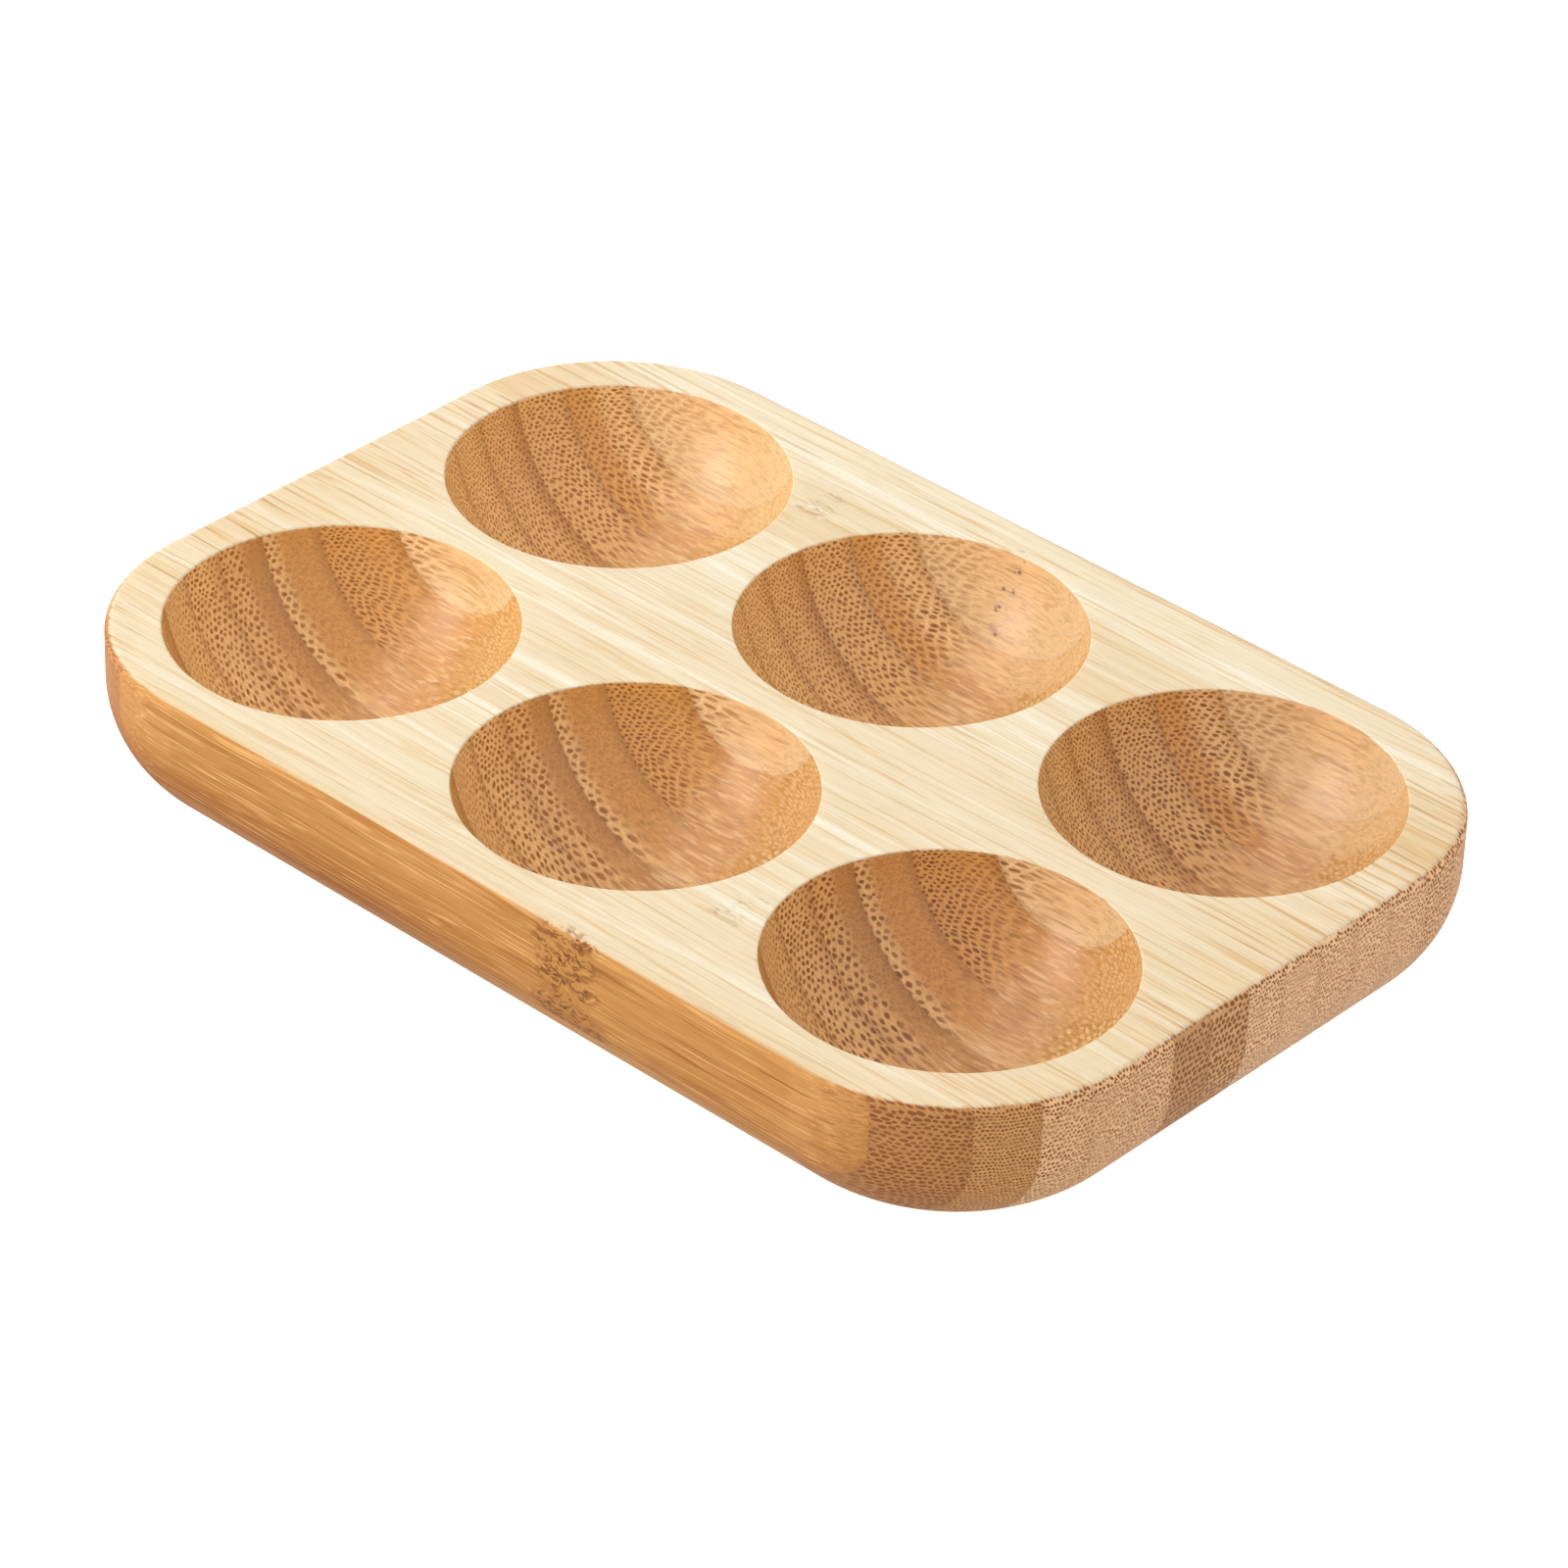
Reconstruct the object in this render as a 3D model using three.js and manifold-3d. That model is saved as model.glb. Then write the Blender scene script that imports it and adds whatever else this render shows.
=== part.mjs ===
// Egg tray: a low board of side-pressed bamboo with rows of egg hollows turned into its top.
// The board is glued up from strips that stand on edge and run the whole length, so every strip
// passes through the rounded outside of the board and through the hollows that it meets.
// Millimetres, +Z up. The origin lies under the middle of the tray, on the surface that it stands on.
// +X runs along the strips, and the near side is the one towards -Y.
import * as THREE from "three";
import { mergeVertices } from "three/addons/utils/BufferGeometryUtils.js";
import Module from "manifold-3d";

// Egg hollows: round shallow bowls, each a cap of one ball
const COLUMNS = 3;
const ROWS = 2;
const HOLLOW_DIAMETER = 50.6;
const HOLLOW_DEPTH = 21;
const WEB_BETWEEN_COLUMNS = 6.8;
const WEB_BETWEEN_ROWS = 5.2;

// Board around the hollows
const END_MARGIN = 7.3;
const SIDE_MARGIN = 6.8;
const FLOOR_THICKNESS = 4;
const CORNER_RADIUS = 30;
const TOP_EDGE_RADIUS = 1.4;
const BOTTOM_EDGE_RADIUS = 17;

// Bamboo strips: the two at the edges were trimmed when the board was sawn to width
const STRIP_THICKNESS = 7.5;
const NEAR_EDGE_STRIP_THICKNESS = 2;
const FAR_EDGE_STRIP_THICKNESS = 5.5;
const GLUE_LINE = 0.1;

// Bamboo tones and finish
const STRAW = 0xe6c594;
const HONEY = 0xd2a06a;
const CARAMEL = 0xb98455;
const SATIN_ROUGHNESS = 0.55;

// Facets
const CORNER_STEPS = 9;
const TOP_EDGE_STEPS = 3;
const BOTTOM_EDGE_STEPS = 6;
const BALL_SIDES = 32;
const BALL_RINGS = 16;

// Sizes that follow from those above
const COLUMN_PITCH = HOLLOW_DIAMETER + WEB_BETWEEN_COLUMNS;
const ROW_PITCH = HOLLOW_DIAMETER + WEB_BETWEEN_ROWS;
const TRAY_LENGTH = (COLUMNS - 1) * COLUMN_PITCH + HOLLOW_DIAMETER + 2 * END_MARGIN;
const TRAY_WIDTH = (ROWS - 1) * ROW_PITCH + HOLLOW_DIAMETER + 2 * SIDE_MARGIN;
const TRAY_HEIGHT = HOLLOW_DEPTH + FLOOR_THICKNESS;
const RIM_RADIUS = HOLLOW_DIAMETER / 2;
const BALL_RADIUS = (RIM_RADIUS ** 2 + HOLLOW_DEPTH ** 2) / (2 * HOLLOW_DEPTH);
const FULL_STRIPS_WIDTH = TRAY_WIDTH - NEAR_EDGE_STRIP_THICKNESS - FAR_EDGE_STRIP_THICKNESS;
const FULL_STRIPS = Math.round(FULL_STRIPS_WIDTH / STRIP_THICKNESS);
const STRIP_PITCH = FULL_STRIPS_WIDTH / FULL_STRIPS;
const QUARTER_TURN = Math.PI / 2;

const wasm = await Module();
wasm.setup();

// A closed geometry as a solid that can be cut
function solidFrom(geometry) {
  geometry.deleteAttribute("normal");
  geometry.deleteAttribute("uv");
  const merged = mergeVertices(geometry);
  const vertProperties = new Float32Array(merged.attributes.position.array);
  const triVerts = new Uint32Array(merged.index.array);
  return new wasm.Manifold(new wasm.Mesh({ numProp: 3, vertProperties, triVerts }));
}

// A solid as a geometry that a mesh can show
function geometryFrom(solid) {
  const { vertProperties, triVerts } = solid.getMesh();
  const geometry = new THREE.BufferGeometry();
  geometry.setAttribute("position", new THREE.BufferAttribute(vertProperties, 3));
  geometry.setIndex(new THREE.BufferAttribute(triVerts, 1));
  geometry.computeVertexNormals();
  return geometry;
}

// The wall's profile from the underside up to the top, as how far it is drawn in and how high it is.
// The lower edge is a quarter round that swings out as it rises, and the upper edge swings in again.
function edgeProfile() {
  const bottomRadius = Math.min(BOTTOM_EDGE_RADIUS, TRAY_HEIGHT - TOP_EDGE_RADIUS);
  const profile = [];
  for (let step = 0; step <= BOTTOM_EDGE_STEPS; step += 1) {
    const turn = (step / BOTTOM_EDGE_STEPS) * QUARTER_TURN;
    const inset = bottomRadius * (1 - Math.sin(turn));
    profile.push({ inset, height: bottomRadius * (1 - Math.cos(turn)) });
  }
  for (let step = 0; step <= TOP_EDGE_STEPS; step += 1) {
    const turn = (step / TOP_EDGE_STEPS) * QUARTER_TURN;
    const inset = TOP_EDGE_RADIUS * (1 - Math.cos(turn));
    profile.push({ inset, height: TRAY_HEIGHT - TOP_EDGE_RADIUS * (1 - Math.sin(turn)) });
  }
  return profile;
}

// The plan of the tray, a rectangle with round corners, drawn in by an inset at one height.
// Where the inset uses up the corner's radius, the corner stays as round as the upper edge.
function planRing({ inset, height }) {
  const cornerRadius = Math.min(CORNER_RADIUS, TRAY_WIDTH / 2, TRAY_LENGTH / 2);
  const radius = Math.max(cornerRadius - inset, TOP_EDGE_RADIUS);
  const alongX = TRAY_LENGTH / 2 - inset - radius;
  const alongY = TRAY_WIDTH / 2 - inset - radius;
  const corners = [[alongX, alongY], [-alongX, alongY], [-alongX, -alongY], [alongX, -alongY]];
  const ring = [];
  corners.forEach(([centreX, centreY], corner) => {
    for (let step = 0; step <= CORNER_STEPS; step += 1) {
      const turn = (corner + step / CORNER_STEPS) * QUARTER_TURN;
      ring.push([centreX + radius * Math.cos(turn), centreY + radius * Math.sin(turn), height]);
    }
  });
  return ring;
}

// The whole board before any hollow is cut: plan rings stacked along the edge profile, closed by flat
// faces below and above
function boardGeometry() {
  const rings = edgeProfile().map(planRing);
  const count = rings[0].length;
  const below = rings.length * count;
  const above = below + 1;
  const points = [...rings.flat(), [0, 0, 0], [0, 0, TRAY_HEIGHT]];
  const faces = [];
  for (let side = 0; side < count; side += 1) {
    const next = (side + 1) % count;
    const topRing = below - count;
    faces.push(below, next, side);
    faces.push(above, topRing + side, topRing + next);
    for (let level = 0; level < rings.length - 1; level += 1) {
      const low = level * count;
      const high = low + count;
      faces.push(low + side, low + next, high + next);
      faces.push(low + side, high + next, high + side);
    }
  }
  const geometry = new THREE.BufferGeometry();
  geometry.setAttribute("position", new THREE.Float32BufferAttribute(points.flat(), 3));
  geometry.setIndex(faces);
  return geometry;
}

// The middle of each hollow on the plan
function hollowCentres() {
  const centres = [];
  for (let column = 0; column < COLUMNS; column += 1) {
    for (let row = 0; row < ROWS; row += 1) {
      const x = (column - (COLUMNS - 1) / 2) * COLUMN_PITCH;
      const y = (row - (ROWS - 1) / 2) * ROW_PITCH;
      centres.push({ x, y });
    }
  }
  return centres;
}

// The ball whose lowest cap leaves one hollow
function hollowBall({ x, y }) {
  const ball = new THREE.SphereGeometry(BALL_RADIUS, BALL_SIDES, BALL_RINGS);
  ball.rotateX(QUARTER_TURN);
  ball.translate(x, y, FLOOR_THICKNESS + BALL_RADIUS);
  return ball;
}

// Where the glue lines between the strips lie across the tray, between two ends well outside it.
// A whole number of full strips fills the width between the two trimmed ones.
function stripBorders() {
  const firstBorder = -TRAY_WIDTH / 2 + NEAR_EDGE_STRIP_THICKNESS;
  const borders = [-TRAY_WIDTH];
  for (let line = 0; line <= FULL_STRIPS; line += 1) {
    borders.push(firstBorder + line * STRIP_PITCH);
  }
  borders.push(TRAY_WIDTH);
  return borders;
}

// The space of one strip, half a glue line clear of each border, and well past the board elsewhere
function stripSpace(nearBorder, farBorder) {
  const thickness = farBorder - nearBorder - GLUE_LINE;
  const space = new THREE.BoxGeometry(2 * TRAY_LENGTH, thickness, 2 * TRAY_HEIGHT);
  space.translate(0, (nearBorder + farBorder) / 2, TRAY_HEIGHT / 2);
  return space;
}

// The strips' names from the near side to the far side
function stripName(place) {
  if (place === 0) {
    return "near_edge_strip";
  }
  if (place > FULL_STRIPS) {
    return "far_edge_strip";
  }
  return `bamboo_strip_${String(place).padStart(2, "0")}`;
}

// Neighbouring strips come from different culms, so their tones take turns
function bambooMaterial(place) {
  const tones = [HONEY, CARAMEL, STRAW];
  const color = tones[place % tones.length];
  return new THREE.MeshStandardMaterial({ color, roughness: SATIN_ROUGHNESS, metalness: 0 });
}

// The tray: the board with its hollows, parted along the glue lines into its strips
function eggTray() {
  const tray = new THREE.Group();
  let board = solidFrom(boardGeometry());
  for (const centre of hollowCentres()) {
    board = board.subtract(solidFrom(hollowBall(centre)));
  }
  const borders = stripBorders();
  for (let place = 0; place < borders.length - 1; place += 1) {
    const space = solidFrom(stripSpace(borders[place], borders[place + 1]));
    const strip = new THREE.Mesh(geometryFrom(board.intersect(space)), bambooMaterial(place));
    strip.name = stripName(place);
    tray.add(strip);
  }
  return tray;
}

export default eggTray();
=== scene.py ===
# %% [markdown]
# # An egg tray of side-pressed bamboo
# The real tray is a board glued up from bamboo strips that stand on edge. The board was sawn to a rectangle
# with round corners, its edges were rounded, and six bowls were turned into its top. This lesson rebuilds
# what the eye sees: every strip as a fine closed surface, and a bamboo that shows its fibre bundles as dots
# where they are cut across and as streaks where they are cut along. The packed solids come first, because
# every strip takes its place and its borders from them.

# %% The packed model as a fixed frame
import math
from collections import namedtuple
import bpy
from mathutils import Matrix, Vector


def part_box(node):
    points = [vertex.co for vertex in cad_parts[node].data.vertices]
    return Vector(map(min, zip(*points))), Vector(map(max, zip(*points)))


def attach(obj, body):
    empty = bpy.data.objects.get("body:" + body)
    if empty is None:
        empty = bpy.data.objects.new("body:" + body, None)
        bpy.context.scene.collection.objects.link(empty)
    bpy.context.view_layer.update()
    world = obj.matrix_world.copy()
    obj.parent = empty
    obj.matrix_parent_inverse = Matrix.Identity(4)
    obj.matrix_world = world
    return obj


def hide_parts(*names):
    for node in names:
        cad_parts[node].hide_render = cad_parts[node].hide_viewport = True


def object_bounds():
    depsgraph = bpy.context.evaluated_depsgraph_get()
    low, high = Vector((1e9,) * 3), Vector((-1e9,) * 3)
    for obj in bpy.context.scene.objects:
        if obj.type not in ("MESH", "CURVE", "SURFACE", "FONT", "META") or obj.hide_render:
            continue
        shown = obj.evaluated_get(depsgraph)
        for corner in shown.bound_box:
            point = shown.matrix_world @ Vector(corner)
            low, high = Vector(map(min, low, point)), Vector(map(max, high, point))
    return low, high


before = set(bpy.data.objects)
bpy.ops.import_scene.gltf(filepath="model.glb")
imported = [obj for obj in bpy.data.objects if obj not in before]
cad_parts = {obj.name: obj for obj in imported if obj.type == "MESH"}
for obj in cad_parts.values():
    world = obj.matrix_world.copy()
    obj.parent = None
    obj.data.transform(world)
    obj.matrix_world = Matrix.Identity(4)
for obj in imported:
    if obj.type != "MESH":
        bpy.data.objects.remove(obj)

from types import SimpleNamespace

import bpy
import numpy as np
from mathutils import Matrix, Vector

cad_low, cad_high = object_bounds()
MM = 0.001
print("solids:", len(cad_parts), "box in mm:", [round(side / MM, 2) for side in cad_high - cad_low])

# %% [markdown]
# ## The camera
# The tray was seen from the front right and from above, through a long lens, so that its edges stay almost
# parallel. A camera could be aimed by eye, but the rims of six round bowls say where it stood: its angles,
# its distance and its slight lean were fitted to them. They are given here as an azimuth round the tray, an
# elevation and a roll.

# %% Camera
LENS = 161.998
SENSOR = 36.0
CAMERA_AZIMUTH = math.radians(41.983)
CAMERA_ELEVATION = math.radians(34.064)
CAMERA_ROLL = math.radians(1.908)
CAMERA_DISTANCE = 959.466 * MM
CAMERA_TARGET = Vector((14.22, -13.646, 25.0)) * MM


def direction(azimuth, elevation):
    """A unit vector that starts at -Y, turns towards +X by the azimuth and rises by the elevation."""
    level = math.cos(elevation)
    return Vector((math.sin(azimuth) * level, -math.cos(azimuth) * level, math.sin(elevation)))


def aimed(place, target, roll=0.0):
    """The matrix of a camera or lamp at a place whose -Z looks at the target, then leaned by the roll."""
    back = (place - target).normalized()
    right = Vector((0, 0, 1)).cross(back).normalized()
    up = back.cross(right)
    turn = Matrix((right, up, back)).transposed().to_4x4()
    return Matrix.Translation(place) @ turn @ Matrix.Rotation(roll, 4, "Z")


scene = bpy.context.scene
camera = bpy.data.objects.new("camera", bpy.data.cameras.new("camera"))
camera.data.lens = LENS
camera.data.sensor_width = SENSOR
eye = CAMERA_TARGET + CAMERA_DISTANCE * direction(CAMERA_AZIMUTH, CAMERA_ELEVATION)
camera.matrix_world = aimed(eye, CAMERA_TARGET, CAMERA_ROLL)
scene.collection.objects.link(camera)
scene.camera = camera
print("camera in metres at", [round(part, 3) for part in eye])

# %% [markdown]
# ## Shader sums in plain Python
# A shader is a web of nodes, and drawing it by hand hides the thought behind it. The small class below wraps
# one socket: a sum on two values adds a Math node, and one method adds any other node by its type, its
# settings and its inputs. With it, a pattern reads like the formula that it is. The light and the bamboo
# both use it.

# %% Sockets as values
# Where a Mix node that mixes colours has its share, its two colours and its result
MIX_SHARE, MIX_FIRST, MIX_SECOND, MIX_RESULT = 0, 6, 7, 2
NOISE_ROUGHNESS = 0.55


def set_stops(ramp, stops):
    """Gives a colour ramp its stops, each a place from 0 to 1 and a colour. A new ramp already has two."""
    while len(ramp.elements) < len(stops):
        ramp.elements.new(1.0)
    for element, (place, colour) in zip(ramp.elements, stops):
        element.position, element.color = place, colour


class Value:
    """One output socket of some nodes, on which the signs + - * / work."""

    def __init__(self, tree, socket=None):
        self.tree, self.socket = tree, socket

    def node(self, kind, settings, inputs, output=0):
        """A new node of a kind: its settings come first, then its inputs get a number, a colour or a link."""
        made = self.tree.nodes.new(kind)
        for setting, choice in settings.items():
            if setting == "stops":
                set_stops(made.color_ramp, choice)
            else:
                setattr(made, setting, choice)
        for place, given in inputs.items():
            if isinstance(given, Value):
                self.tree.links.new(given.socket, made.inputs[place])
            else:
                made.inputs[place].default_value = given
        return Value(self.tree, made.outputs[output])

    def also(self, output):
        """Another output of the node that this value comes from."""
        return Value(self.tree, self.socket.node.outputs[output])

    def sum(self, operation, *given):
        """A Math node's result for the values and numbers given."""
        return self.node("ShaderNodeMath", {"operation": operation}, dict(enumerate(given)))

    def __add__(self, other):
        return self.sum("ADD", self, other)

    __radd__ = __add__

    def __sub__(self, other):
        return self.sum("SUBTRACT", self, other)

    def __rsub__(self, other):
        return self.sum("SUBTRACT", other, self)

    def __mul__(self, other):
        return self.sum("MULTIPLY", self, other)

    __rmul__ = __mul__

    def __truediv__(self, other):
        return self.sum("DIVIDE", self, other)

    def __abs__(self):
        return self.sum("ABSOLUTE", self)

    def most(self, other):
        """The larger of two values."""
        return self.sum("MAXIMUM", self, other)

    def least(self, other):
        """The smaller of two values."""
        return self.sum("MINIMUM", self, other)

    def step(self, low, high):
        """A soft step: 0 at low, 1 at high, with no corner between. Low may be the larger."""
        ends = {"From Min": low, "From Max": high, "Value": self}
        return self.node("ShaderNodeMapRange", {"interpolation_type": "SMOOTHSTEP"}, ends)

    def between(self, first, second):
        """A number between two, with this value as the share of the second."""
        return first + (second - first) * self

    def tint(self, first, second):
        """A colour between two, with this value as the share of the second."""
        given = {MIX_SHARE: self, MIX_FIRST: first, MIX_SECOND: second}
        return self.node("ShaderNodeMix", {"data_type": "RGBA"}, given, MIX_RESULT)

    def dyed(self, dye, share=1.0):
        """This colour multiplied by another, by a share."""
        settings = {"data_type": "RGBA", "blend_type": "MULTIPLY"}
        given = {MIX_SHARE: share, MIX_FIRST: self, MIX_SECOND: dye}
        return self.node("ShaderNodeMix", settings, given, MIX_RESULT)

    def vector(self, x, y, z=0.0):
        """A vector of three values or numbers."""
        return self.node("ShaderNodeCombineXYZ", {}, {"X": x, "Y": y, "Z": z})

    def parts(self):
        """The three parts of a vector or colour, as values."""
        split = self.node("ShaderNodeSeparateXYZ", {}, {0: self})
        return split, split.also(1), split.also(2)

    def length(self):
        """How long this vector is."""
        return self.node("ShaderNodeVectorMath", {"operation": "LENGTH"}, {0: self}, "Value")

    def noise(self, detail=1.0):
        """Soft noise at this vector, one cell to a unit, around one half."""
        given = {"Vector": self, "Scale": 1.0, "Detail": detail, "Roughness": NOISE_ROUGHNESS}
        return self.node("ShaderNodeTexNoise", {}, given)

    def feeds(self, node, place):
        """Links this value to an input of a node that is there already."""
        self.tree.links.new(self.socket, node.inputs[place])


print("a value knows:", ", ".join(name for name in vars(Value) if not name.startswith("_")))

# %% [markdown]
# ## Studio light
# The tray was photographed in soft light from the front left. A white dome gives the even light: its upper
# half is the bright studio, and its lower half stands for the light that a table throws back, which is
# strong near the horizon and weak straight below. One lamp could give all the light, but its shadows would
# be hard. Two soft lamps give the dome's light a direction and leave the pale sheen on the bowls' far walls.

# %% Light
# The dome's light by height, from straight down at -1 to straight up at 1
DOME = [(-1.0, 0.57), (-0.1, 1.15), (0.1, 0.95), (1.0, 0.93)]
LAMPS = {
    "front_lamp": {"azimuth": -38, "elevation": 16, "size": 0.42, "power": 2.35},
    "left_lamp": {"azimuth": -62, "elevation": 42, "size": 1.0, "power": 3.8},
}
LAMP_DISTANCE = 0.9


def soft_lamp(name, azimuth, elevation, size, power):
    """A square lamp at an angle that looks at the tray's middle."""
    lamp = bpy.data.lights.new(name, "AREA")
    lamp.shape, lamp.size, lamp.energy = "SQUARE", size, power
    lamp_object = bpy.data.objects.new(name, lamp)
    place = LAMP_DISTANCE * direction(math.radians(azimuth), math.radians(elevation))
    lamp_object.matrix_world = aimed(place, Vector())
    scene.collection.objects.link(lamp_object)


scene.view_settings.view_transform = "Standard"
world = bpy.data.worlds.new("white_dome")
world.use_nodes = True
scene.world = world
height = Value(world.node_tree).node("ShaderNodeTexCoord", {}, {}, "Generated").parts()[2]
stops = [((1 + rise) / 2, (light, light, light, 1.0)) for rise, light in DOME]
dome = height.node("ShaderNodeValToRGB", {"stops": stops}, {"Fac": (1.0 + height) / 2})
dome.feeds(world.node_tree.nodes["Background"], "Color")
for name, setting in LAMPS.items():
    soft_lamp(name, **setting)
print("dome light by height:", DOME)
print("lamps in watts:", {name: lamp["power"] for name, lamp in LAMPS.items()})

# %% [markdown]
# ## Floor
# The tray stood on pure white. The floor is a plain pale sheet a hair below the tray, so that the two never
# share a plane. It glows, so that almost no shadow is left on it, and it is kept out of the bounced light,
# because the walls in the photograph darken towards the table.

# %% Floor
FLOOR_REACH, FLOOR_DROP = 6.0, 0.0001
FLOOR_FINISH = {
    "Base Color": (0.8, 0.8, 0.8, 1.0),
    "Roughness": 0.9,
    "Specular IOR Level": 0.1,
    "Emission Color": (1.0, 1.0, 1.0, 1.0),
    "Emission Strength": 0.85,
}

floor_mesh = bpy.data.meshes.new("floor")
square = FLOOR_REACH * np.array([(-1, -1), (1, -1), (1, 1), (-1, 1)])
floor_mesh.from_pydata([(x, y, -FLOOR_DROP) for x, y in square], [], [(0, 1, 2, 3)])
floor = bpy.data.objects.new("floor", floor_mesh)
floor.visible_diffuse = floor.visible_glossy = False
scene.collection.objects.link(floor)
sweep = bpy.data.materials.new("white_sweep")
sweep.use_nodes = True
for socket, finish in FLOOR_FINISH.items():
    sweep.node_tree.nodes["Principled BSDF"].inputs[socket].default_value = finish
floor_mesh.materials.append(sweep)
print("floor:", 2 * FLOOR_REACH, "m wide,", FLOOR_DROP / MM, "mm below the tray")

# %% [markdown]
# ## Sizes that every strip shares
# The outside of the board, the bowls and the glue lines are the same for all strips. The outside comes from
# the packed box and the glue lines from the packed solids. The radii and the pitch of the bowls are the
# part's own, and one small radius is new: a turned bowl never leaves a knife edge, so its rim is eased by
# sandpaper.

# %% Sizes in millimetres
HALF_LENGTH, HALF_WIDTH, HEIGHT = (side / MM for side in cad_high)
CORNER_RADIUS = 30.0
TOP_EDGE_RADIUS = 1.4
LOWER_EDGE_RADIUS = 17.0
COLUMN_PITCH, ROW_PITCH = 57.4, 55.8
HOLLOW_RADIUS, HOLLOW_DEPTH = 25.3, 21.0
EASED_RIM = 0.3

BOWL_FLOOR = HEIGHT - HOLLOW_DEPTH
BALL_RADIUS = (HOLLOW_RADIUS**2 + HOLLOW_DEPTH**2) / (2 * HOLLOW_DEPTH)
BALL_LIFT = BALL_RADIUS - HOLLOW_DEPTH
RIM_OUTSIDE = math.sqrt((BALL_RADIUS + EASED_RIM) ** 2 - (BALL_LIFT + EASED_RIM) ** 2)
RIM_INSIDE = RIM_OUTSIDE * BALL_RADIUS / (BALL_RADIUS + EASED_RIM)

strips = sorted(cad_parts, key=lambda node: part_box(node)[0].y)
lows = [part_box(node)[0].y / MM for node in strips]
highs = [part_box(node)[1].y / MM for node in strips]
glue_lines = [(high + low) / 2 for high, low in zip(highs[:-1], lows[1:])]
borders = np.array([lows[0], *glue_lines, highs[-1]])
print("strips:", len(strips), "glue lines at", np.round(glue_lines, 2))

# %% [markdown]
# ## The outside of the board
# Seen from above, the outline is a rectangle with round corners. Everything on the outside depends on one
# number: how far a point of the plan lies inside that outline. The big quarter round of the lower edge and
# the small one of the upper edge are both circles in that number, so they run round the corners without any
# seam. A bevel on a box could give the same shape, but it would not know about the strips.

# %% Outside heights
def inset(x, y):
    """How far inside the outline a point lies: the corner radius less how far the point is past the corner
    centres, taken as a distance in a corner and straight along an edge."""
    past_x = np.abs(x) - (HALF_LENGTH - CORNER_RADIUS)
    past_y = np.abs(y) - (HALF_WIDTH - CORNER_RADIUS)
    furthest = np.maximum(past_x, past_y)
    in_corner = np.hypot(np.maximum(past_x, 0), np.maximum(past_y, 0))
    return CORNER_RADIUS - np.where(furthest > 0, in_corner, furthest)


def quarter_round(radius, depth):
    """How far a quarter round falls short of its full height at a depth inside the outline: the radius less
    the height of the circle there."""
    short = np.clip(radius - depth, 0, radius)
    return radius - np.sqrt(radius**2 - short**2)


def lower_height(x, y):
    """The underside: flat, rising along the lower quarter round towards the outline."""
    return quarter_round(LOWER_EDGE_RADIUS, inset(x, y))


def edge_height(x, y):
    """The top without its bowls: flat, falling along the upper quarter round towards the outline."""
    return HEIGHT - quarter_round(TOP_EDGE_RADIUS, inset(x, y))


print("height at the wall:", lower_height(HALF_LENGTH, 0.0), "to", edge_height(HALF_LENGTH, 0.0))

# %% [markdown]
# ## The bowls
# Each bowl is a cap of one ball, cut by a turning tool, so its height is the ball's underside. Between the
# ball and the flat top lies the eased rim: a small circle that touches both. All six bowls come from one
# formula, because a point of the plan only needs to know the nearest bowl's centre.

# %% Bowl heights
def row_centre(y):
    """The y of the nearest row of bowls."""
    return np.where(y < 0, -ROW_PITCH / 2, ROW_PITCH / 2)


def bowl_height(x, y):
    """The top with its bowls: the ball's underside inside the rim, the small circle on it, flat outside."""
    centre_x = COLUMN_PITCH * np.clip(np.round(x / COLUMN_PITCH), -1, 1)
    away = np.hypot(x - centre_x, y - row_centre(y))
    ball = HEIGHT + BALL_LIFT - np.sqrt(np.maximum(BALL_RADIUS**2 - away**2, 0))
    back = np.clip(RIM_OUTSIDE - away, 0, EASED_RIM)
    rim = HEIGHT - EASED_RIM + np.sqrt(EASED_RIM**2 - back**2)
    return np.where(away < RIM_INSIDE, ball, rim)


def upper_height(x, y):
    """The lower of the rounded edge and the bowls."""
    return np.minimum(edge_height(x, y), bowl_height(x, y))


print("bowl floor", round(float(bowl_height(0.0, ROW_PITCH / 2)), 3))
print("rim from", round(RIM_INSIDE, 2), "to", round(RIM_OUTSIDE, 2))

# %% [markdown]
# ## Grid rows across a strip
# A strip is a grid: rows across it and points round each row's section. Rows spread evenly would cut the
# rims into steps where a rim runs along the strip, so more rows crowd in there and at the long walls. Their
# offsets grow with the square of the step, because a circle leaves its tangent in that way.

# %% Rows
EVEN_ROWS = 14
CROWD_STEPS = np.arange(1, 10) ** 2
CROWD_UNIT = 0.035
LEAST_GAP = 0.02


def rows_across(near, far):
    """The y of each row from one border to the other: an even spread, and crowds at rims and long walls
    whose offsets are a unit times the squares of whole numbers."""
    bowl_rows = np.array([-ROW_PITCH / 2, ROW_PITCH / 2])
    rims = (bowl_rows[:, None] + np.array([-HOLLOW_RADIUS, HOLLOW_RADIUS])).ravel()
    middles = np.array([*rims, HALF_WIDTH, -HALF_WIDTH])
    offsets = CROWD_UNIT * np.concatenate([-CROWD_STEPS, [0], CROWD_STEPS])
    crowds = (middles[:, None] + offsets).ravel()
    rows = np.unique(np.concatenate([np.linspace(near, far, EVEN_ROWS), crowds]))
    rows = rows[(rows > near + LEAST_GAP) & (rows < far - LEAST_GAP)]
    rows = rows[np.concatenate([[True], np.diff(rows) > LEAST_GAP])]
    return np.concatenate([[near], rows, [far]])


print("rows of each strip:", [len(rows_across(near, far)) for near, far in zip(borders[:-1], borders[1:])])

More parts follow.
